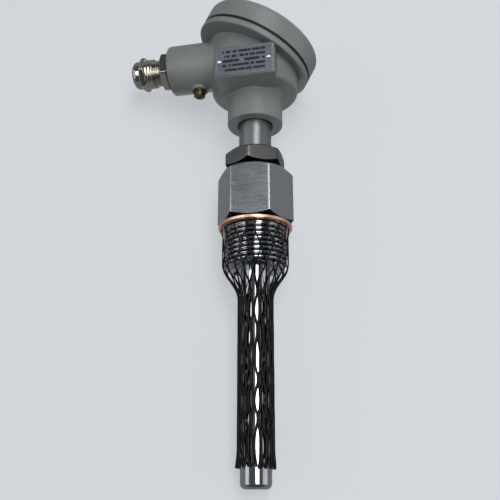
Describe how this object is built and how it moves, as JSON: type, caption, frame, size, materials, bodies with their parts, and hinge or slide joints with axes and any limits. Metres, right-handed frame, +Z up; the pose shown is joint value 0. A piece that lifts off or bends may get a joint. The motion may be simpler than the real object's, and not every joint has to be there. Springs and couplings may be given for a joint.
{
  "type": "temperature sensor",
  "caption": "Screw-in industrial temperature sensor: long steel pocket with hexagon and thread under a net sleeve, neck tube, grey cast head with slanted screw cover, and cable gland.",
  "frame": {"origin": "centre of the copper gasket's lower face, which seats on the process connection", "axes": "+Z up the stem's axis to the head, cable entry to -X, nameplate facing -Y"},
  "size_m": [0.1274, 0.0804, 0.3115],
  "materials": {
    "pocket_steel": "turned and milled stainless steel, satin",
    "copper": "soft bright copper",
    "net_plastic": "black extruded polyethylene, glossy",
    "tube_steel": "drawn stainless tube, satin",
    "nut_steel": "dull stainless steel",
    "head_paint": "grey paint on die-cast aluminium, semi-gloss",
    "seal_rubber": "black rubber, matt",
    "plate_metal": "brushed aluminium sheet",
    "rivet_metal": "bright aluminium",
    "earth_brass": "plain brass, a little dull",
    "gland_nickel": "nickel-plated brass, bright",
    "slip_plastic": "natural nylon",
    "insert_steel": "stainless steel",
    "block_ceramic": "unglazed ceramic",
    "terminal_brass": "plain brass",
    "lead_sleeve": "woven glass sleeve"
  },
  "bodies": {
    "sensor": {"thermowell": "pocket_steel", "copper_gasket": "copper", "protective_net": "net_plastic", "neck_tube": "tube_steel", "lock_nut": "nut_steel", "head_body": "head_paint", "nameplate": "plate_metal", "nameplate_rivets": "rivet_metal", "earth_screw": "earth_brass", "earth_washer": "earth_brass", "gland_body": "gland_nickel", "gland_gasket": "seal_rubber", "gland_seal": "seal_rubber", "insert_screws": "insert_steel", "insert_springs": "insert_steel"},
    "cover_carriage": {"cover_seal": "seal_rubber"},
    "cover": {"head_cover": "head_paint"},
    "gland_carriage": {"gland_slip_ring": "slip_plastic"},
    "dome_nut": {"gland_nut": "gland_nickel"},
    "insert": {"insert_flange": "insert_steel", "insert_sheath": "insert_steel", "terminal_block": "block_ceramic", "terminal_clamps": "terminal_brass", "terminal_screws": "terminal_brass", "lead_wires": "lead_sleeve"}
  },
  "joints": [
    {"name": "cover_lift", "type": "slide", "parent": "sensor", "child": "cover_carriage", "axis": [0.4617, 0, 0.887], "range_m": [0, 0.0101]},
    {"name": "cover_turn", "type": "hinge", "parent": "cover_carriage", "child": "cover", "pos_m": [0, 0, 0.1272], "axis": [0.4617, 0, 0.887], "range_deg": [0, 1800]},
    {"name": "gland_nut_travel", "type": "slide", "parent": "sensor", "child": "gland_carriage", "axis": [-1, 0, 0], "range_m": [-0.0031, 0.0046]},
    {"name": "gland_nut_turn", "type": "hinge", "parent": "gland_carriage", "child": "dome_nut", "pos_m": [-0.0585, 0, 0.1225], "axis": [-1, 0, 0], "range_deg": [-720, 1080]},
    {"name": "insert_slide", "type": "slide", "parent": "sensor", "child": "insert", "axis": [0, 0, 1], "range_m": [0, 0.005], "stiffness_N_per_m": 1600, "springref_m": -0.006, "deforming": ["insert_springs"]}
  ],
  "couplings": [
    {"joint": "cover_lift", "follows": "cover_turn", "m_per_rad": 0.0003183},
    {"joint": "gland_nut_travel", "follows": "gland_nut_turn", "m_per_rad": 0.0002387}
  ]
}
